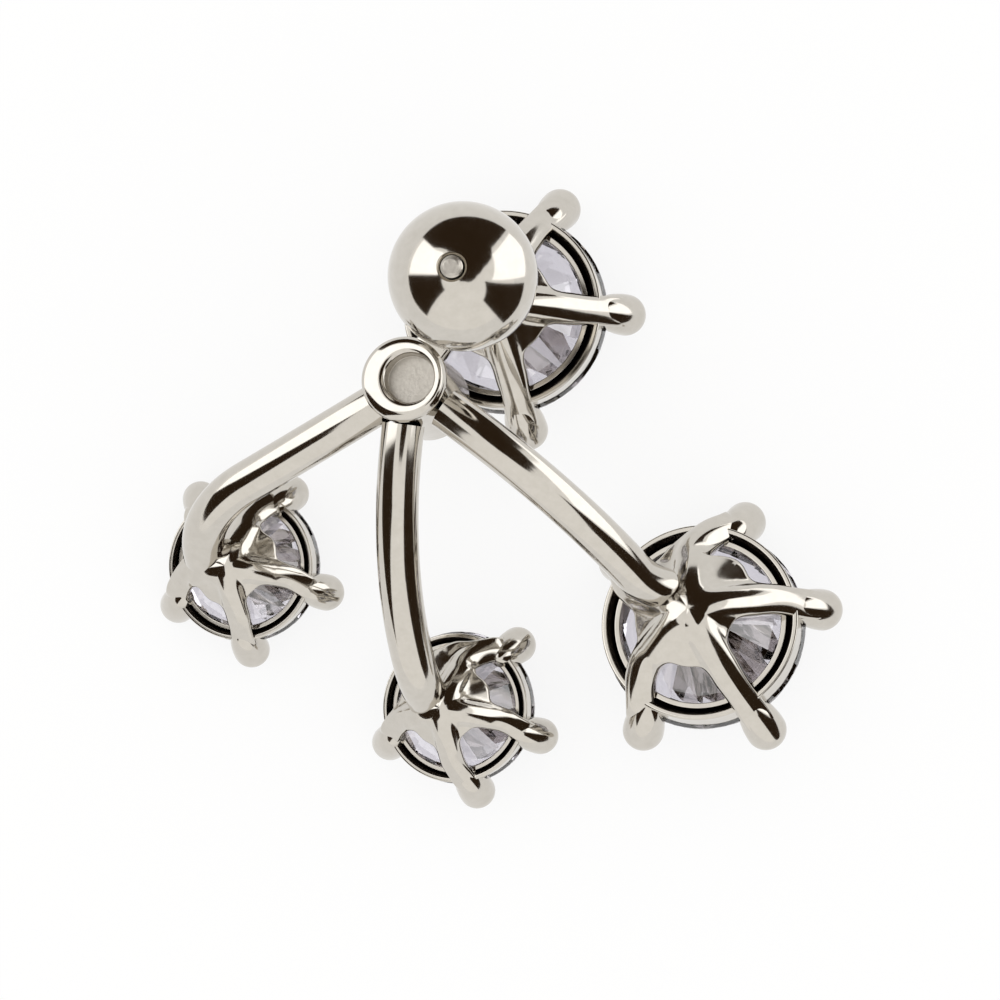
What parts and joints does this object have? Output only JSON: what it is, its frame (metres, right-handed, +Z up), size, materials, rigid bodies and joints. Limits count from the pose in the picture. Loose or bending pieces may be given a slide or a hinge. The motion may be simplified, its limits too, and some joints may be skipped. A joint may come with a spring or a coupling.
{
  "type": "cluster earring",
  "caption": "Cluster earring: a claw-set round stone on an ear post, a jacket with round stones set on curved wires that hangs on the post, and a ball back.",
  "frame": {"origin": "on the surface that the earring lies on, under the centre of its box", "axes": "+Z up from the surface towards the backs of the stones, +X towards the large drop, +Y from the drops towards the stud"},
  "size_m": [0.0272, 0.0244, 0.0164],
  "materials": {
    "silver": "polished white metal",
    "clear_stone": "cut and polished, clear"
  },
  "bodies": {
    "stud": {"stud_setting": "silver", "stud_stone": "clear_stone"},
    "jacket": {"jacket_frame": "silver", "large_stone": "clear_stone", "middle_stone": "clear_stone", "side_stone": "clear_stone"},
    "ball": {"ball_back": "silver"}
  },
  "joints": [
    {"name": "jacket_turn", "type": "hinge", "parent": "stud", "child": "jacket", "pos_m": [0.00005, 0.00832, 0.00944], "axis": [-0.0634, 0.1342, 0.9889], "continuous": true},
    {"name": "ball_slide", "type": "slide", "parent": "stud", "child": "ball", "axis": [-0.0634, 0.1342, 0.9889], "range_m": [0, 0.008]}
  ]
}
